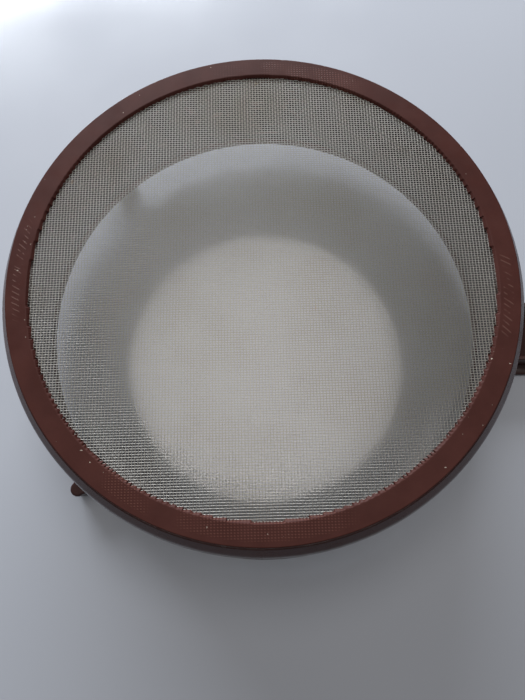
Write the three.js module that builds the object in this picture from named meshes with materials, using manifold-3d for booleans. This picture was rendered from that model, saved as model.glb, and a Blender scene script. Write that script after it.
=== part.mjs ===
// Double sieve strainer: a drum sieve with a coarse wire mesh on its upper end, standing in
// a ring sieve with a fine wire mesh. The ring sieve carries a handle and two rest lugs.
// Millimetres, +Z up, the strainer stands on z = 0 with its coarse mesh facing up.
import * as THREE from 'three';
import * as BufferGeometryUtils from 'three/addons/utils/BufferGeometryUtils.js';
import Module from 'manifold-3d';

const wasm = await Module();
wasm.setup();

// ---- driving dimensions -------------------------------------------------------------
const totalHeight = 96;
const roundSteps = 72;
const gap = 0.3; // clearance between two pieces that touch on the real object

// rings that clamp the wire meshes
const coarseRingOuter = 120;
const coarseRingInner = 109.2;
const clampThickness = 1.7;
const meshThickness = 0.6;
const flangeThickness = 2;
const edgeChamfer = 0.5;

// drum of the coarse sieve
const drumWall = 2.4;
const drumFootOuter = 132.6;
const drumMiddleOuter = 127.2;
const drumShoulderOuter = 126;
const drumShoulderDrop = 12;
const drumMiddleDrop = 24;
const drumNeckOuter = 121;

// ring frame of the fine sieve
const ringLift = 9.5; // height of its underside above the surface that the lugs stand on
const ringInner = 129.5;
const ringOuter = 135.6;
const upstandWall = 1.6;
const upstandTop = 20.5;

// handle
const handleHeight = 18;
const handleReach = 112;
const handleRootWidth = 38;
const handleTipWidth = 30;
const handlePlate = 3;
const handleSideWall = 2.6;
const handleFlange = 6; // how far the plate reaches out on both sides of the side walls
const hangHoleRadius = 5.5;
const hangHoleInset = 18;
const hangHoleWall = 2.6;
const hangHoleTop = 9;

// rest lugs
const lugAngleDegrees = 135.5;
const lugHeight = 15;
const lugTipRadius = 4.3;
const lugTipCentre = 145.5;
const lugRootHalfWidth = 8.7;
const lugBevel = 0.8;

// The origin is under the middle of the whole strainer's footprint, so the drum's axis lies
// to the -X side of it by half of what the handle reaches past the ring.
const axisX = -(handleReach) / 2;

// ---- materials ----------------------------------------------------------------------
const brownPlastic = () => new THREE.MeshStandardMaterial({
  color: 0x4a2a26,
  roughness: 0.42,
  metalness: 0,
});
const steelWire = () => new THREE.MeshStandardMaterial({
  color: 0xb4b0a4,
  roughness: 0.4,
  metalness: 0.9,
});

// ---- helpers ------------------------------------------------------------------------
const strainer = new THREE.Group();
strainer.position.x = axisX;

function addPiece(name, geometry, material) {
  const mesh = new THREE.Mesh(geometry, material);
  mesh.name = name;
  strainer.add(mesh);
  return mesh;
}

// A ring turned about the drum's axis from a closed [radius, height] outline. LatheGeometry's
// faces point out when the outline runs anticlockwise in the radius-height plane.
function turned(outline) {
  const points = outline.map(([radius, height]) => new THREE.Vector2(radius, height));
  points.push(points[0].clone());
  const geometry = new THREE.LatheGeometry(points, roundSteps);
  geometry.rotateX(Math.PI / 2);
  return geometry;
}

// A flat ring with its two upper edges chamfered.
function flatRing(inner, outer, bottom, top) {
  return turned([
    [inner, bottom],
    [outer, bottom],
    [outer, top - edgeChamfer],
    [outer - edgeChamfer, top],
    [inner + edgeChamfer, top],
    [inner, top - edgeChamfer],
  ]);
}

function disc(radius, bottom, thickness) {
  const geometry = new THREE.CylinderGeometry(radius, radius, thickness, roundSteps);
  geometry.rotateX(Math.PI / 2);
  geometry.translate(0, 0, bottom + thickness / 2);
  return geometry;
}

function toSolid(geometry) {
  const bare = geometry.clone();
  bare.deleteAttribute('normal');
  bare.deleteAttribute('uv');
  const merged = BufferGeometryUtils.mergeVertices(bare, 1e-4);
  return new wasm.Manifold(new wasm.Mesh({
    numProp: 3,
    vertProperties: new Float32Array(merged.attributes.position.array),
    triVerts: new Uint32Array(merged.index.array),
  }));
}

function toGeometry(solid) {
  const mesh = solid.getMesh();
  const geometry = new THREE.BufferGeometry();
  geometry.setAttribute('position', new THREE.BufferAttribute(mesh.vertProperties, 3));
  geometry.setIndex(new THREE.BufferAttribute(mesh.triVerts, 1));
  return geometry;
}

// ---- fine sieve: ring frame, mesh and clamp ring ----------------------------------------
const fineFlangeTop = ringLift + flangeThickness;
const fineMeshBottom = fineFlangeTop + gap;
const fineClampBottom = fineMeshBottom + meshThickness + gap;
const fineClampTop = fineClampBottom + clampThickness;
const upstandInner = ringOuter - upstandWall;
const fineMeshRadius = upstandInner - 2;

addPiece('fine_ring_frame', turned([
  [ringInner, ringLift],
  [ringOuter - edgeChamfer, ringLift],
  [ringOuter, ringLift + edgeChamfer],
  [ringOuter, upstandTop - edgeChamfer],
  [ringOuter - edgeChamfer, upstandTop],
  [upstandInner, upstandTop],
  [upstandInner, fineFlangeTop],
  [ringInner, fineFlangeTop],
]), brownPlastic());

addPiece('fine_mesh', disc(fineMeshRadius, fineMeshBottom, meshThickness), steelWire());

addPiece(
  'fine_clamp_ring',
  flatRing(ringInner, upstandInner - gap, fineClampBottom, fineClampTop),
  brownPlastic(),
);

// ---- coarse sieve: drum, mesh and clamp ring --------------------------------------------
const coarseClampBottom = totalHeight - clampThickness;
const coarseMeshBottom = coarseClampBottom - gap - meshThickness;
const drumTop = coarseMeshBottom - gap;
const drumFlangeBottom = drumTop - flangeThickness;
const drumFoot = fineClampTop + gap;
const shoulderHeight = totalHeight - drumShoulderDrop;
const middleHeight = totalHeight - drumMiddleDrop;
const shoulderMidOuter = drumShoulderOuter - 1.4;
const shoulderMidHeight = shoulderHeight + 5;

addPiece('coarse_drum', turned([
  [drumFootOuter - drumWall, drumFoot],
  [drumFootOuter, drumFoot],
  [drumMiddleOuter, middleHeight],
  [drumShoulderOuter, shoulderHeight],
  [shoulderMidOuter, shoulderMidHeight],
  [drumNeckOuter, drumTop - edgeChamfer],
  [drumNeckOuter - edgeChamfer, drumTop],
  [coarseRingInner, drumTop],
  [coarseRingInner, drumFlangeBottom],
  [drumNeckOuter - drumWall, drumFlangeBottom],
  [shoulderMidOuter - drumWall, shoulderMidHeight - 1],
  [drumShoulderOuter - drumWall, shoulderHeight - 1],
  [drumMiddleOuter - drumWall, middleHeight],
]), brownPlastic());

addPiece(
  'coarse_mesh',
  disc(coarseRingOuter - 2, coarseMeshBottom, meshThickness),
  steelWire(),
);

addPiece(
  'coarse_clamp_ring',
  flatRing(coarseRingInner, coarseRingOuter, coarseClampBottom, totalHeight),
  brownPlastic(),
);

// ---- handle: a tapering trough on a wider plate, with a hang hole ---------------------------
// The outline's root follows the ring, and its free end is a half circle.
function handleOutline(inset, rootInset = inset) {
  const rootRadius = ringOuter + gap + rootInset;
  const halfRoot = handleRootWidth / 2 - inset;
  const halfTip = handleTipWidth / 2 - inset;
  const tipCentre = ringOuter + handleReach - handleFlange - handleTipWidth / 2;
  const rootAngle = Math.asin(halfRoot / rootRadius);
  const shape = new THREE.Shape();
  shape.moveTo(rootRadius * Math.cos(rootAngle), -halfRoot);
  shape.lineTo(tipCentre, -halfTip);
  shape.absarc(tipCentre, 0, halfTip, -Math.PI / 2, Math.PI / 2, false);
  shape.lineTo(rootRadius * Math.cos(rootAngle), halfRoot);
  shape.absarc(0, 0, rootRadius, rootAngle, -rootAngle, true);
  return shape;
}

function extruded(shape, bottom, top, curveSegments = 10) {
  const geometry = new THREE.ExtrudeGeometry(shape, {
    depth: top - bottom,
    bevelEnabled: false,
    curveSegments,
  });
  geometry.translate(0, 0, bottom);
  return geometry;
}

function upright(radius, centreX, bottom, top) {
  const geometry = new THREE.CylinderGeometry(radius, radius, top - bottom, 24);
  geometry.rotateX(Math.PI / 2);
  geometry.translate(centreX, 0, (bottom + top) / 2);
  return geometry;
}

function makeHandle() {
  const holeX = ringOuter + handleReach - hangHoleInset;
  const plate = toSolid(extruded(handleOutline(-handleFlange, 0), 0, handlePlate));
  const walls = toSolid(extruded(handleOutline(0), 0, handleHeight));
  const holeWall = toSolid(upright(hangHoleRadius + hangHoleWall, holeX, 0, hangHoleTop));
  const trough = toSolid(extruded(handleOutline(handleSideWall), handlePlate, handleHeight + 1))
    .subtract(holeWall);
  const hangHole = toSolid(upright(hangHoleRadius, holeX, -1, handleHeight + 1));
  return toGeometry(plate.add(walls).subtract(trough).subtract(hangHole));
}

addPiece('handle', makeHandle(), brownPlastic());

// ---- rest lugs: rounded wedges on the far side from the handle ----------------------------
function lugGeometry() {
  const rootRadius = ringOuter + gap + lugBevel;
  const halfRoot = lugRootHalfWidth - lugBevel;
  const tipRadius = lugTipRadius - lugBevel;
  const rootAngle = Math.asin(halfRoot / rootRadius);
  const shape = new THREE.Shape();
  shape.moveTo(rootRadius * Math.cos(rootAngle), -halfRoot);
  shape.lineTo(lugTipCentre, -tipRadius);
  shape.absarc(lugTipCentre, 0, tipRadius, -Math.PI / 2, Math.PI / 2, false);
  shape.lineTo(rootRadius * Math.cos(rootAngle), halfRoot);
  const geometry = new THREE.ExtrudeGeometry(shape, {
    depth: lugHeight - 2 * lugBevel,
    bevelThickness: lugBevel,
    bevelSize: lugBevel,
    bevelSegments: 2,
    curveSegments: 6,
  });
  geometry.translate(0, 0, lugBevel);
  return geometry;
}

for (const [side, sign] of [['left', 1], ['right', -1]]) {
  const lug = addPiece(`rest_lug_${side}`, lugGeometry(), brownPlastic());
  lug.rotation.z = sign * THREE.MathUtils.degToRad(lugAngleDegrees);
}

export default strainer;
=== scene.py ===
import math

import bpy
import numpy as np
from mathutils import Matrix, Vector


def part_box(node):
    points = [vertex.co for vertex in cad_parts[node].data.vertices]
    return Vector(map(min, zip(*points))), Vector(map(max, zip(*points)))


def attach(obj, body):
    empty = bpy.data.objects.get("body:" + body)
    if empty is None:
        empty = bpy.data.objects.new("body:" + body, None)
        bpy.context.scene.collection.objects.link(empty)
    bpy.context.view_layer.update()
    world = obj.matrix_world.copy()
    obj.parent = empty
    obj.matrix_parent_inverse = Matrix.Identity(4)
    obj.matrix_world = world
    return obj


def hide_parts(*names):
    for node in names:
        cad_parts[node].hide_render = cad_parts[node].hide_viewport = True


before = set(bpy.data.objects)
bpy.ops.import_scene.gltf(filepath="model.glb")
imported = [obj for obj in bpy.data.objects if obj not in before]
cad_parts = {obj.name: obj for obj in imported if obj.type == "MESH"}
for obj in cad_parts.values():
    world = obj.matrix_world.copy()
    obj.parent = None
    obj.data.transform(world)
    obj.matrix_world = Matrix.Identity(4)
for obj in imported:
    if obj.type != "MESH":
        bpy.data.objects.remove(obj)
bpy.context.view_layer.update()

MM = 0.001
COARSE, FINE = "coarse_sieve", "fine_sieve"

# ---- measures taken from the frame ---------------------------------------------------
clamp_low, clamp_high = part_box("coarse_clamp_ring")
drum_low, drum_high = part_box("coarse_drum")
cloth_low, cloth_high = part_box("coarse_mesh")
base_low, base_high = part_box("fine_ring_frame")
base_clamp_low, base_clamp_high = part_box("fine_clamp_ring")
base_cloth_low, base_cloth_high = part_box("fine_mesh")
handle_low, handle_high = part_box("handle")
_, lug_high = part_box("rest_lug_left")

AXIS = (clamp_low.x + clamp_high.x) / 2
RING_OUTER = (clamp_high.x - clamp_low.x) / 2
DRUM_FOOT_OUTER = (drum_high.x - drum_low.x) / 2
BASE_OUTER = (base_high.x - base_low.x) / 2
BASE_CLAMP_OUTER = (base_clamp_high.x - base_clamp_low.x) / 2
TOP = clamp_high.z

# ---- measures that the frame's boxes don't give ------------------------------------------
RING_INNER = 109.2 * MM
BASE_INNER = 129.5 * MM

# drum, in millimetres: outer radii with how far they lie below the top
DRUM_WALL = 2.4
DRUM_MIDDLE, DRUM_MIDDLE_DROP = 127.2, 24
DRUM_SHOULDER, DRUM_SHOULDER_DROP = 126.0, 12
DRUM_TURN, DRUM_TURN_DROP = 124.6, 7
DRUM_NECK = 121.0
FLANGE_THICKNESS = 2

# ring frame, handle and lugs, in millimetres
UPSTAND_WALL = 1.6
MOULDED_OVERLAP = 0.6  # how far the handle and the lugs run into the ring that they grow from
HANDLE_PLATE = 3.0
HANDLE_WALL = 2.6
HANDLE_FLANGE = 6.0
HANDLE_HALF_TIP = 15.0
HOLE_INSET, HOLE_RADIUS = 18.0, 5.5
BOSS_WALL, BOSS_TOP = 2.6, 9.0
LUG_DEGREES = 135.5
LUG_HALF_ROOT = 8.7
LUG_TIP_CENTRE, LUG_TIP_RADIUS = 145.5, 4.3

# ---- woven wire ----------------------------------------------------------------------
WEAVE_TURN = math.radians(3.5)
WARP_PITCH = 1.41 * MM
WEFT_PITCH = 1.172 * MM
COARSE_WIRE = 0.34 * MM
COARSE_CLOTH_RADIUS = 112.5 * MM
COARSE_SAG = 0.5 * MM
COARSE_RISE = 0.75 * MM  # above the CAD disc's middle, so that the ring looks flush
FINE_PITCH = 0.64 * MM
FINE_WIRE = 0.08 * MM
FINE_CLOTH_RADIUS = 131.5 * MM
FINE_WARP_DIRECTION = math.radians(52)

# ---- viewpoint, in radii of the upper ring -----------------------------------------------
CAMERA_SWING = math.radians(5.1)
CAMERA_PLACE = (-0.012, -0.752, 1.925)
CAMERA_TILT, CAMERA_ROLL = 0.2330, -0.0550
FOCAL_PIXELS, IMAGE_HEIGHT = 526, 700
SENSOR = 36.0

# ---- light -----------------------------------------------------------------------------
WINDOW_PLACE = (AXIS - 0.43, 1.33, 0.55)
WINDOW_SIZE, WINDOW_WATTS = (1.5, 0.48), 52
OVERHEAD_HEIGHT, OVERHEAD_WATTS = 1.2, 6.3
ROOM_STRENGTH = 0.18


# ---- mesh helpers --------------------------------------------------------------------
def mesh_object(name, points, faces, sharp_degrees=40):
    mesh = bpy.data.meshes.new(name)
    mesh.from_pydata(np.asarray(points).tolist(), [], faces)
    mesh.validate()
    mesh.shade_smooth()
    if sharp_degrees:
        mesh.set_sharp_from_angle(angle=math.radians(sharp_degrees))
    made = bpy.data.objects.new(name, mesh)
    bpy.context.scene.collection.objects.link(made)
    return made


def unit(vector):
    return vector / np.linalg.norm(vector)


def rounded(corners, steps=4, support=0.2):
    """A closed outline in millimetres from (radius, height, fillet) corners, with a
    support point beside each fillet so that flat faces stay flat when shaded smooth."""
    outline = []
    count = len(corners)
    for i, (r, z, fillet) in enumerate(corners):
        here = np.array([r, z])
        if fillet == 0:
            outline.append(here)
            continue
        back = np.array(corners[i - 1][:2]) - here
        ahead = np.array(corners[(i + 1) % count][:2]) - here
        u, v = unit(back), unit(ahead)
        half = math.acos(np.clip(u @ v, -1, 1)) / 2
        reach = fillet / math.tan(half)
        centre = here + unit(u + v) * fillet / math.sin(half)
        start, end = here + u * reach, here + v * reach
        first = math.atan2(*(start - centre)[::-1])
        turn = (math.atan2(*(end - centre)[::-1]) - first + math.pi) % math.tau - math.pi
        if np.linalg.norm(back) > 2 * reach + 2 * support:
            outline.append(here + u * (reach + support))
        for k in range(steps + 1):
            a = first + turn * k / steps
            outline.append(centre + fillet * np.array([math.cos(a), math.sin(a)]))
        if np.linalg.norm(ahead) > 2 * reach + 2 * support:
            outline.append(here + v * (reach + support))
    return np.array(outline) * MM


def turned(name, outline, steps=360, shape=None):
    """A ring turned about the drum's axis. shape(radius, height, angle) may vary it."""
    angles = np.arange(steps)[:, None] * math.tau / steps
    r = np.repeat(outline[None, :, 0], steps, 0)
    z = np.repeat(outline[None, :, 1], steps, 0)
    if shape:
        r, z = shape(r, z, angles)
    points = np.stack([AXIS + r * np.cos(angles), r * np.sin(angles), z], -1).reshape(-1, 3)
    n = len(outline)
    i, j = np.meshgrid(np.arange(steps), np.arange(n), indexing="ij")
    i2, j2 = (i + 1) % steps, (j + 1) % n
    faces = np.stack([i * n + j, i2 * n + j, i2 * n + j2, i * n + j2], -1).reshape(-1, 4)
    return mesh_object(name, points, faces.tolist())


def loft(name, levels, sharp_degrees=40):
    """A closed solid through a stack of outlines of equal length, each an (n, 3) array."""
    n = len(levels[0])
    points = np.concatenate(levels)
    faces = []
    for k in range(len(levels) - 1):
        low, high = k * n, (k + 1) * n
        faces += [(low + j, low + (j + 1) % n, high + (j + 1) % n, high + j) for j in range(n)]
    faces.append(tuple(reversed(range(n))))
    faces.append(tuple(range((len(levels) - 1) * n, len(levels) * n)))
    return mesh_object(name, points, faces, sharp_degrees)


# ---- node helpers --------------------------------------------------------------------
class Shader:
    """A material whose nodes are made by short calls."""

    def __init__(self, name, **sockets):
        self.material = bpy.data.materials.new(name)
        self.material.use_nodes = True
        self.tree = self.material.node_tree
        self.surface = self.tree.nodes["Principled BSDF"]
        for socket, value in sockets.items():
            self.surface.inputs[socket.replace("_", " ")].default_value = value
        self.place = self.node("ShaderNodeTexCoord").outputs["Object"]

    def node(self, kind, **settings):
        made = self.tree.nodes.new(kind)
        for key, value in settings.items():
            setattr(made, key, value)
        return made

    def put(self, socket, value):
        if isinstance(value, bpy.types.NodeSocket):
            self.tree.links.new(value, socket)
        else:
            socket.default_value = value

    def math(self, operation, *values):
        made = self.node("ShaderNodeMath", operation=operation)
        for socket, value in zip(made.inputs, values):
            self.put(socket, value)
        return made.outputs[0]

    def noise(self, scale, detail=3.0, roughness=0.55, stretch=None):
        made = self.node("ShaderNodeTexNoise")
        place = self.place
        if stretch:
            mapping = self.node("ShaderNodeMapping")
            self.put(mapping.inputs["Vector"], place)
            mapping.inputs["Scale"].default_value = stretch
            place = mapping.outputs[0]
        self.put(made.inputs["Vector"], place)
        for socket, value in (("Scale", scale), ("Detail", detail), ("Roughness", roughness)):
            made.inputs[socket].default_value = value
        return made.outputs["Fac"]

    def span(self, value, low, high, to_low=0.0, to_high=1.0):
        """Eases from to_low to to_high as value goes from low to high."""
        made = self.node("ShaderNodeMapRange", interpolation_type="SMOOTHSTEP")
        sockets = ("Value", "From Min", "From Max", "To Min", "To Max")
        for socket, amount in zip(sockets, (value, low, high, to_low, to_high)):
            self.put(made.inputs[socket], amount)
        return made.outputs["Result"]

    def mix(self, amount, first, second):
        made = self.node("ShaderNodeMix", data_type="RGBA")
        for index, value in ((0, amount), (6, first), (7, second)):
            self.put(made.inputs[index], value)
        return made.outputs[2]

    def split(self):
        made = self.node("ShaderNodeSeparateXYZ")
        self.put(made.inputs[0], self.place)
        return made.outputs

    def polar(self):
        """Radius from the drum's axis in metres, and azimuth in degrees."""
        x, y, _ = self.split()
        x = self.math("SUBTRACT", x, AXIS)
        squares = self.math("ADD", self.math("MULTIPLY", x, x), self.math("MULTIPLY", y, y))
        angle = self.math("DEGREES", self.math("ARCTAN2", y, x))
        return self.math("SQRT", squares), angle

    def band(self, value, low, high, edge):
        """1 between low and high, falling to 0 over edge on both sides."""
        up = self.span(value, low - edge, low)
        down = self.span(value, high, high + edge)
        return self.math("SUBTRACT", up, down)

    def bump(self, height, distance, strength=1.0, below=None):
        made = self.node("ShaderNodeBump")
        made.inputs["Strength"].default_value = strength
        made.inputs["Distance"].default_value = distance
        self.put(made.inputs["Height"], height)
        if below:
            self.put(made.inputs["Normal"], below)
        return made.outputs[0]

    def finish(self, colour, roughness, normal=None):
        self.put(self.surface.inputs["Base Color"], colour)
        self.put(self.surface.inputs["Roughness"], roughness)
        if normal:
            self.put(self.surface.inputs["Normal"], normal)
        return self.material


def rgb(r, g, b):
    return (r, g, b, 1.0)


# ---- materials -----------------------------------------------------------------------
def moulded_plastic(name, roughness, dark, light):
    """Dark red-brown polypropylene: faint flow mottling, fine orange peel, hairlines."""
    s = Shader(name, Metallic=0.0, IOR=1.49, Specular_IOR_Level=0.5)
    mottle = s.span(s.noise(45, 4), 0.35, 0.7)
    colour = s.mix(mottle, rgb(*dark), rgb(*light))
    dust = s.span(s.noise(1500, 2, 0.6), 0.66, 0.74)
    colour = s.mix(s.math("MULTIPLY", dust, 0.25), colour, rgb(0.22, 0.17, 0.14))
    hairline = s.span(s.noise(60, 2, 0.5, stretch=(1.0, 14.0, 5.0)), 0.62, 0.68)
    shine = s.span(s.noise(140, 3), 0.3, 0.7, roughness - 0.05, roughness + 0.06)
    shine = s.math("ADD", shine, s.math("MULTIPLY", hairline, 0.08))
    peel = s.bump(s.noise(420, 3), 0.05 * MM, 0.35)
    normal = s.bump(hairline, -0.02 * MM, 0.4, below=peel)
    return s.finish(colour, shine, normal)


def ring_plastic():
    """The coarse sieve's clamp ring: matt brown, with the cloth's weave pressed through
    it in two places, tool marks beside the handle and opposite it, and a few chips."""
    s = Shader("ring_plastic", Metallic=0.0, IOR=1.47, Specular_IOR_Level=0.1)
    radius, angle = s.polar()
    x, y, _ = s.split()
    x = s.math("SUBTRACT", x, AXIS)
    cos, sin = math.cos(WEAVE_TURN), math.sin(WEAVE_TURN)
    across = s.math("ADD", s.math("MULTIPLY", x, cos), s.math("MULTIPLY", y, sin))
    along = s.math("SUBTRACT", s.math("MULTIPLY", y, cos), s.math("MULTIPLY", x, sin))
    waves = [s.math("COSINE", s.math("MULTIPLY", value, math.tau / pitch))
             for value, pitch in ((across, WARP_PITCH), (along, WEFT_PITCH))]
    cells = s.span(s.math("ADD", *waves), 0.2, 1.6)
    patch = s.noise(38, 3)
    front = s.math("MULTIPLY", s.band(angle, -121, -74, 9),
                   s.band(radius, 0.1095, 0.1165, 0.0016))
    back = s.math("MULTIPLY", s.band(angle, 72, 99, 8),
                  s.band(radius, 0.1095, 0.1170, 0.0012))
    where = s.math("MULTIPLY", s.math("ADD", front, back), s.span(patch, 0.36, 0.52))
    weave = s.math("MULTIPLY", cells, where)
    slant = s.math("ADD", s.math("MULTIPLY", angle, 4.6), s.math("MULTIPLY", radius, 1400.0))
    tick = s.span(s.math("SINE", slant), 0.45, 0.95)
    left = s.math("MULTIPLY", s.span(s.math("ABSOLUTE", angle), 166, 171),
                  s.band(radius, 0.1135, 0.1165, 0.0006))
    right = s.math("MULTIPLY", s.band(angle, -11, 6, 3),
                   s.band(radius, 0.1125, 0.1160, 0.0008))
    marks = s.math("MULTIPLY", tick, s.math("MAXIMUM", left, right))
    marks = s.math("MULTIPLY", marks, s.span(s.noise(210, 2), 0.40, 0.56))
    mottle = s.span(s.noise(55, 4), 0.3, 0.75)
    colour = s.mix(mottle, rgb(0.045, 0.0138, 0.0110), rgb(0.059, 0.0190, 0.0152))
    colour = s.mix(s.math("MULTIPLY", weave, 0.42), colour, rgb(0.16, 0.068, 0.050))
    colour = s.mix(s.math("MULTIPLY", marks, 0.30), colour, rgb(0.19, 0.105, 0.085))
    chip = s.span(s.noise(620, 1, 0.4), 0.80, 0.825)
    colour = s.mix(chip, colour, rgb(0.42, 0.36, 0.30))
    shine = s.span(s.noise(170, 3), 0.3, 0.7, 0.42, 0.56)
    grain = s.bump(s.noise(900, 3), 0.04 * MM, 0.5)
    normal = s.bump(s.math("ADD", weave, marks), 0.10 * MM, 0.7, below=grain)
    return s.finish(colour, shine, normal)


def wire_steel(name, bright, stained, roughness):
    """Drawn stainless wire: patches of honey and propolis film, fine draw lines."""
    s = Shader(name, Metallic=1.0)
    film = s.span(s.noise(22, 4, 0.6), 0.42, 0.72)
    colour = s.mix(film, rgb(*bright), rgb(*stained))
    spot = s.span(s.noise(120, 2, 0.5), 0.745, 0.785)
    colour = s.mix(s.math("MULTIPLY", spot, 0.45), colour, rgb(0.34, 0.25, 0.16))
    shine = s.span(s.noise(1800, 2), 0.3, 0.7, roughness - 0.06, roughness + 0.08)
    normal = s.bump(s.noise(5200, 2), 0.01 * MM, 0.5)
    return s.finish(colour, shine, normal)


def tile():
    """Pale glazed floor, plain, with the slight wave of a real glaze."""
    s = Shader("pale_floor", Metallic=0.0, IOR=3.0)
    tone = s.span(s.noise(2.2, 3), 0.3, 0.7)
    colour = s.mix(tone, rgb(0.455, 0.475, 0.53), rgb(0.485, 0.505, 0.56))
    shine = s.span(s.noise(9, 3), 0.3, 0.7, 0.12, 0.16)
    normal = s.bump(s.noise(26, 2), 0.05 * MM, 0.12)
    return s.finish(colour, shine, normal)


# ---- coarse sieve --------------------------------------------------------------------
def lattice(angle, radius):
    """Where a point of the drum's plane lies in the woven lattice, in wire spacings, and
    how far its direction from the axis leans towards each of the lattice's two axes."""
    turn = angle - WEAVE_TURN
    u, v = radius * np.cos(turn) / WARP_PITCH, radius * np.sin(turn) / WEFT_PITCH
    return u, v, np.cos(turn), np.sin(turn)


def ragged_edge(r, z, angle):
    """The ring's inner edge follows the cells of the cloth that its plastic ran into."""
    u, v, cos, sin = lattice(angle, RING_INNER)
    lean = np.clip((np.abs(sin) - 0.62) / 0.16, 0, 1)
    step_v = (np.floor(v) + 0.5 - v) * WEFT_PITCH / np.where(np.abs(sin) < 0.3, 1, sin)
    step_u = (np.floor(u) + 0.5 - u) * WARP_PITCH / np.where(np.abs(cos) < 0.3, 1, cos)
    teeth = lean * np.cos(math.tau * u) + (1 - lean) * np.cos(math.tau * v)
    front = 0.5 - 0.5 * np.sin(angle)
    change = lean * step_v + (1 - lean) * step_u
    change = change * (0.45 + 0.4 * front) + teeth * 0.28 * MM * (0.4 + 0.6 * front)
    near = np.clip(1 - (r - RING_INNER) / (1.6 * MM), 0, 1)
    return r + change * near, z


def make_clamp_ring(material):
    low, high = clamp_low.z / MM, clamp_high.z / MM
    outer, inner = RING_OUTER / MM, RING_INNER / MM
    outline = rounded([
        (inner, low, 0.15),
        (outer, low, 0.3),
        (outer, high, 0.45),
        (inner + 1.1, high, 0.8),
        (inner, low + 0.6, 0.3),
    ])
    piece = turned("coarse_clamp_ring_moulding", outline, 1440, ragged_edge)
    piece.data.materials.append(material)
    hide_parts("coarse_clamp_ring")
    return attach(piece, COARSE)


def make_drum(material):
    foot, top = drum_low.z / MM, drum_high.z / MM
    high = TOP / MM
    inner, outer = RING_INNER / MM, DRUM_FOOT_OUTER / MM
    outline = rounded([
        (outer - DRUM_WALL, foot, 0.5),
        (outer, foot, 0.6),
        (DRUM_MIDDLE, high - DRUM_MIDDLE_DROP, 40.0),
        (DRUM_SHOULDER, high - DRUM_SHOULDER_DROP, 14.0),
        (DRUM_TURN, high - DRUM_TURN_DROP, 5.0),
        (DRUM_NECK, top, 0.6),
        (inner, top, 0.4),
        (inner, top - FLANGE_THICKNESS, 0.3),
        (DRUM_NECK - DRUM_WALL, top - FLANGE_THICKNESS, 1.0),
        (DRUM_TURN - DRUM_WALL, high - DRUM_TURN_DROP - 1, 5.0),
        (DRUM_SHOULDER - DRUM_WALL, high - DRUM_SHOULDER_DROP - 1, 14.0),
        (DRUM_MIDDLE - DRUM_WALL, high - DRUM_MIDDLE_DROP, 40.0),
    ], steps=6)
    piece = turned("coarse_drum_moulding", outline)
    piece.data.materials.append(material)
    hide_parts("coarse_drum")
    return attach(piece, COARSE)


# ---- wire cloth ----------------------------------------------------------------------
def woven_wires(name, direction, pitch, cross_pitch, level, parity, first, sides=6):
    """Every second wire of one direction of the coarse cloth, a round of plain weave, from
    number first on. Each bends over and under the wires that cross it; parity is 1 or -1,
    so that the two directions bend opposite ways."""
    run = np.array([math.cos(direction), math.sin(direction)])
    off = np.array([-run[1], run[0]])
    points, faces = [], []
    around = np.arange(sides) * math.tau / sides + math.pi / 2
    half_count = int(COARSE_CLOTH_RADIUS / pitch)
    start = 0
    for k in range(first - half_count, half_count + 1, 2):
        aside = (k + 0.5) * pitch
        reach = math.sqrt(max(COARSE_CLOTH_RADIUS ** 2 - aside ** 2, 0))
        last = int(reach / cross_pitch - 0.6)
        if last < 2:
            continue
        j = np.arange(-last, last)
        t = (j + 0.5) * cross_pitch
        lift = np.where((j + k) % 2 == 0, 1.0, -1.0) * parity * COARSE_WIRE / 2
        distance = np.hypot(t, aside) / COARSE_CLOTH_RADIUS
        height = level + lift - COARSE_SAG * (1 - distance ** 2)
        centre = np.stack([AXIS + run[0] * t + off[0] * aside,
                           run[1] * t + off[1] * aside, height], -1)
        ring = centre[:, None, :] + COARSE_WIRE / 2 * (
            np.cos(around)[None, :, None] * np.array([off[0], off[1], 0.0])
            + np.sin(around)[None, :, None] * np.array([0.0, 0.0, 1.0]))
        points.append(ring.reshape(-1, 3))
        count = len(t)
        a, b = np.meshgrid(np.arange(count - 1), np.arange(sides), indexing="ij")
        b2 = (b + 1) % sides
        quads = [a * sides + b, a * sides + b2, (a + 1) * sides + b2, (a + 1) * sides + b]
        faces += (np.stack(quads, -1).reshape(-1, 4) + start).tolist()
        faces.append((np.arange(sides)[::-1] + start).tolist())
        faces.append((np.arange(sides) + start + (count - 1) * sides).tolist())
        start += count * sides
    return mesh_object(name, np.concatenate(points), faces, None)


def make_coarse_cloth(material):
    level = (cloth_low.z + cloth_high.z) / 2 + COARSE_SAG / 2 + COARSE_RISE
    made = []
    sets = (("warp", WEAVE_TURN + math.pi / 2, WARP_PITCH, WEFT_PITCH, 1),
            ("weft", WEAVE_TURN, WEFT_PITCH, WARP_PITCH, -1))
    for label, direction, pitch, cross, parity in sets:
        for first, half in enumerate(("odd", "even")):
            piece = woven_wires(f"coarse_{label}_{half}", direction, pitch, cross, level,
                                parity, first)
            piece.data.materials.append(material)
            made.append(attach(piece, COARSE))
    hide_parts("coarse_mesh")
    return made


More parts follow.
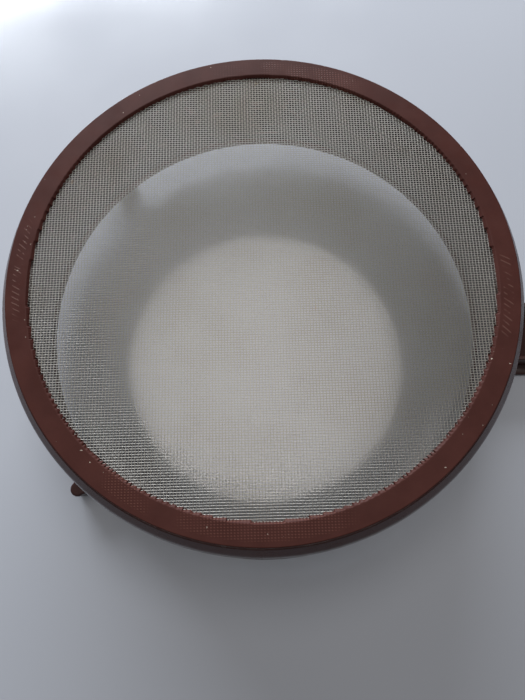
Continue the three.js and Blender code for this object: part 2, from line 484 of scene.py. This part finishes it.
def straight_wires(name, direction, level, sides=6):
    """The fine cloth's wires in one direction. Each is straight: at this size the weave's
    bends are less than a tenth of a millimetre."""
    run = np.array([math.cos(direction), math.sin(direction), 0.0])
    off = np.array([-run[1], run[0], 0.0])
    around = np.arange(sides) * math.tau / sides
    rim = FINE_WIRE / 2 * (np.cos(around)[:, None] * off
                           + np.sin(around)[:, None] * np.array([0, 0, 1.0]))
    points, faces = [], []
    half_count = int(FINE_CLOTH_RADIUS / FINE_PITCH)
    for k in range(-half_count, half_count):
        aside = (k + 0.5) * FINE_PITCH
        reach = math.sqrt(FINE_CLOTH_RADIUS ** 2 - aside ** 2)
        low = len(points) * 2 * sides
        high = low + sides
        centre = np.array([AXIS, 0.0, level]) + off * aside
        points.append(np.concatenate([centre - run * reach + rim, centre + run * reach + rim]))
        faces += [(low + b, low + (b + 1) % sides, high + (b + 1) % sides, high + b)
                  for b in range(sides)]
        faces.append(tuple(low + b for b in reversed(range(sides))))
        faces.append(tuple(high + b for b in range(sides)))
    return mesh_object(name, np.concatenate(points), faces, None)


def make_fine_cloth(material):
    level = (base_cloth_low.z + base_cloth_high.z) / 2
    made = []
    sets = (("warp", FINE_WARP_DIRECTION, 1), ("weft", FINE_WARP_DIRECTION + math.pi / 2, -1))
    for label, direction, side in sets:
        piece = straight_wires(f"fine_{label}", direction, level + side * FINE_WIRE * 0.48)
        piece.data.materials.append(material)
        made.append(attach(piece, FINE))
    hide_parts("fine_mesh")
    return made


# ---- fine sieve ----------------------------------------------------------------------
def make_base(material):
    low, high = base_low.z / MM, base_high.z / MM
    inner, outer = BASE_INNER / MM, BASE_OUTER / MM
    outline = rounded([
        (inner, low, 0.5),
        (outer, low, 0.9),
        (outer, high, 0.7),
        (outer - UPSTAND_WALL, high, 0.5),
        (outer - UPSTAND_WALL, low + FLANGE_THICKNESS, 0.3),
        (inner, low + FLANGE_THICKNESS, 0.4),
    ])
    frame_piece = turned("fine_ring_moulding", outline)
    low, high = base_clamp_low.z / MM, base_clamp_high.z / MM
    outer = BASE_CLAMP_OUTER / MM
    ring = turned("fine_clamp_ring_moulding", rounded([
        (inner, low, 0.2),
        (outer, low, 0.2),
        (outer, high, 0.5),
        (inner, high, 0.5),
    ]))
    for piece, node in ((frame_piece, "fine_ring_frame"), (ring, "fine_clamp_ring")):
        piece.data.materials.append(material)
        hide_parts(node)
        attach(piece, FINE)


def arc(centre_x, radius, start, end, count):
    a = np.linspace(start, end, count)
    return np.stack([centre_x + radius * np.cos(a), radius * np.sin(a)], -1)


def tapered_outline(root_radius, half_root, tip_centre, half_tip, inset,
                    sides=10, tip=28, root=13):
    """The handle's and the lugs' plan: a root along the ring, straight sides, a round end."""
    r = root_radius + inset
    h, t = half_root - inset, half_tip - inset
    angle = math.asin(h / r)
    root_arc = arc(0, r, angle, -angle, root)
    tip_arc = arc(tip_centre, t, -math.pi / 2, math.pi / 2, tip)
    side = np.linspace(root_arc[-1], tip_arc[0], sides + 2)[1:-1]
    back = np.linspace(tip_arc[-1], root_arc[0], sides + 2)[1:-1]
    return np.concatenate([root_arc, side, tip_arc, back])


def stacked(outline_at, profile):
    """Outlines at each (inset, height) of profile, in millimetres, as loft levels."""
    levels = []
    for inset, height in profile:
        flat = outline_at(inset)
        levels.append(np.concatenate([flat, np.full((len(flat), 1), height)], 1) * MM)
    return levels


def edge_round(radius, height, steps=6, down=False):
    """(inset, height) pairs of a quarter round at an upper or a lower edge."""
    pairs = []
    for k in range(steps + 1):
        a = math.pi / 2 * k / steps
        inset, rise = radius * (1 - math.cos(a)), radius * math.sin(a)
        pairs.append((inset, height - radius + rise))
    if down:
        pairs = [(inset, 2 * height - z) for inset, z in reversed(pairs)]
    return pairs


def cut(target, tool, operation="DIFFERENCE"):
    modifier = target.modifiers.new("cut", "BOOLEAN")
    modifier.operation = operation
    modifier.object = tool
    modifier.solver = "EXACT"
    bake_modifiers(target)
    bpy.data.objects.remove(tool)


def bake_modifiers(target):
    """Replaces the object's mesh by the one its modifiers make."""
    bpy.context.view_layer.update()
    graph = bpy.context.evaluated_depsgraph_get()
    mesh = bpy.data.meshes.new_from_object(target.evaluated_get(graph))
    target.modifiers.clear()
    target.data = mesh


def pillar(name, centre_x, radius, low, high, count=48):
    circle = arc(centre_x, radius, 0, math.tau * (1 - 1 / count), count)
    return loft(name, stacked(lambda inset: circle, [(0.0, low), (0.0, high)]))


def make_handle(material):
    """A tapering trough on a wider plate, open at the top, with a hang hole."""
    height = handle_high.z / MM
    ring = BASE_OUTER / MM - MOULDED_OVERLAP
    half_root = (handle_high.y - handle_low.y) / 2 / MM - HANDLE_FLANGE
    reach = (handle_high.x - AXIS) / MM
    tip_centre = reach - HANDLE_FLANGE - HANDLE_HALF_TIP
    hole_x = reach - HOLE_INSET

    def walls(inset):
        return tapered_outline(ring, half_root, tip_centre, HANDLE_HALF_TIP, inset)

    def wide(inset):
        return tapered_outline(ring + HANDLE_FLANGE - inset, half_root, tip_centre,
                               HANDLE_HALF_TIP, inset - HANDLE_FLANGE)

    wall_levels = [(0.0, 0.5), (0.0, 2.0)] + edge_round(0.8, height, 4)
    plate_levels = edge_round(0.7, 0.0, 3, down=True) + edge_round(0.9, HANDLE_PLATE, 4)
    trough_levels = [(HANDLE_WALL + 1.2, HANDLE_PLATE), (HANDLE_WALL + 0.4, HANDLE_PLATE + 0.4),
                     (HANDLE_WALL + 0.1, HANDLE_PLATE + 1.2), (HANDLE_WALL - 0.1, height + 1)]
    body = loft("handle_moulding", stacked(walls, wall_levels))
    cut(body, loft("plate", stacked(wide, plate_levels)), "UNION")
    cut(body, loft("trough", stacked(walls, trough_levels)))
    cut(body, pillar("boss", hole_x, HOLE_RADIUS + BOSS_WALL, HANDLE_PLATE - 1, BOSS_TOP), "UNION")
    cut(body, pillar("hole", hole_x, HOLE_RADIUS, -1, height + 1, 64))
    bevel = body.modifiers.new("edges", "BEVEL")
    bevel.width, bevel.segments = 0.4 * MM, 2
    bevel.limit_method, bevel.angle_limit = "ANGLE", math.radians(50)
    bake_modifiers(body)
    body.data.shade_smooth()
    body.data.set_sharp_from_angle(angle=math.radians(38))
    body.data.transform(Matrix.Translation((AXIS, 0, 0)))
    body.data.materials.clear()
    body.data.materials.append(material)
    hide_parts("handle")
    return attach(body, FINE)


def make_lug(side, degrees, material):
    height = lug_high.z / MM

    def outline(inset):
        return tapered_outline(BASE_OUTER / MM - MOULDED_OVERLAP, LUG_HALF_ROOT, LUG_TIP_CENTRE,
                               LUG_TIP_RADIUS, inset, sides=4, tip=16, root=7)

    levels = edge_round(0.7, 0.0, 3, down=True) + edge_round(1.3, height, 5)
    piece = loft(f"rest_lug_{side}_moulding", stacked(outline, levels))
    turn = Matrix.Rotation(math.radians(degrees), 4, "Z")
    piece.data.transform(Matrix.Translation((AXIS, 0, 0)) @ turn)
    piece.data.materials.append(material)
    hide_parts(f"rest_lug_{side}")
    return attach(piece, FINE)


# ---- stage, light, camera ------------------------------------------------------------
def make_floor():
    half = 3.0
    corners = [(-half, -half, 0), (half, -half, 0), (half, half, 0), (-half, half, 0)]
    floor = mesh_object("floor", corners, [(0, 1, 2, 3)])
    floor.data.materials.append(tile())


def area_light(name, place, aim, size, watts, colour, shape="RECTANGLE"):
    data = bpy.data.lights.new(name, "AREA")
    data.shape = shape
    data.size, data.size_y = size
    data.energy = watts
    data.color = colour
    made = bpy.data.objects.new(name, data)
    bpy.context.scene.collection.objects.link(made)
    made.location = place
    made.rotation_euler = (Vector(aim) - Vector(place)).to_track_quat("-Z", "Y").to_euler()


def make_light():
    """A window low on the far left, and a round softbox overhead. The softbox just fills
    what the camera sees reflected in the glazed floor through the mesh."""
    eye = Matrix.Rotation(CAMERA_SWING, 4, "Z") @ Vector(CAMERA_PLACE) * RING_OUTER
    spread = (OVERHEAD_HEIGHT + TOP + eye.z) / (2 * TOP + eye.z)
    area_light("window", WINDOW_PLACE, (AXIS, 0, 0), WINDOW_SIZE, WINDOW_WATTS,
               (0.90, 0.95, 1.0))
    centre = Vector((AXIS + eye.x * (1 - spread), eye.y * (1 - spread), OVERHEAD_HEIGHT))
    area_light("overhead", centre, centre - Vector((0, 0, 1)), (2 * RING_INNER * spread,) * 2,
               OVERHEAD_WATTS, (1.0, 0.96, 0.91), "DISK")
    world = bpy.data.worlds.new("soft_room")
    bpy.context.scene.world = world
    world.use_nodes = True
    background = world.node_tree.nodes["Background"]
    background.inputs["Color"].default_value = rgb(0.66, 0.68, 0.72)
    background.inputs["Strength"].default_value = ROOM_STRENGTH


def make_camera():
    """The photograph's viewpoint: above the drum's near edge, looking down and ahead."""
    ahead = Vector((0, math.sin(CAMERA_TILT), -math.cos(CAMERA_TILT)))
    across, up = Vector((1, 0, 0)), Vector((0, math.cos(CAMERA_TILT), math.sin(CAMERA_TILT)))
    right = math.cos(CAMERA_ROLL) * across + math.sin(CAMERA_ROLL) * up
    above = -math.sin(CAMERA_ROLL) * across + math.cos(CAMERA_ROLL) * up
    data = bpy.data.cameras.new("camera")
    data.sensor_width = SENSOR
    data.lens = SENSOR * FOCAL_PIXELS / IMAGE_HEIGHT
    data.clip_start = 0.01
    camera = bpy.data.objects.new("camera", data)
    bpy.context.scene.collection.objects.link(camera)
    turn = Matrix((right, above, -ahead)).transposed().to_4x4()
    pose = Matrix.Translation(Vector(CAMERA_PLACE) * RING_OUTER) @ turn
    drum_centre = Matrix.Translation((AXIS, 0, TOP)) @ Matrix.Rotation(CAMERA_SWING, 4, "Z")
    camera.matrix_world = drum_centre @ pose
    bpy.context.scene.camera = camera


# ---- build ---------------------------------------------------------------------------
bpy.context.scene.view_settings.view_transform = "Standard"
make_camera()
make_light()
make_floor()

glossy_brown = moulded_plastic("moulded_plastic", 0.22,
                               (0.036, 0.0105, 0.0084), (0.043, 0.0128, 0.0099))
base_brown = moulded_plastic("base_plastic", 0.32,
                             (0.035, 0.0103, 0.0083), (0.042, 0.0125, 0.0097))
coarse_steel = wire_steel("coarse_wire_steel",
                          (0.335, 0.322, 0.300), (0.295, 0.275, 0.245), 0.50)
fine_steel = wire_steel("fine_wire_steel", (0.26, 0.25, 0.235), (0.23, 0.215, 0.195), 0.32)

make_drum(glossy_brown)
make_clamp_ring(ring_plastic())
make_coarse_cloth(coarse_steel)
make_base(base_brown)
make_fine_cloth(fine_steel)
make_handle(base_brown)
make_lug("left", LUG_DEGREES, base_brown)
make_lug("right", -LUG_DEGREES, base_brown)
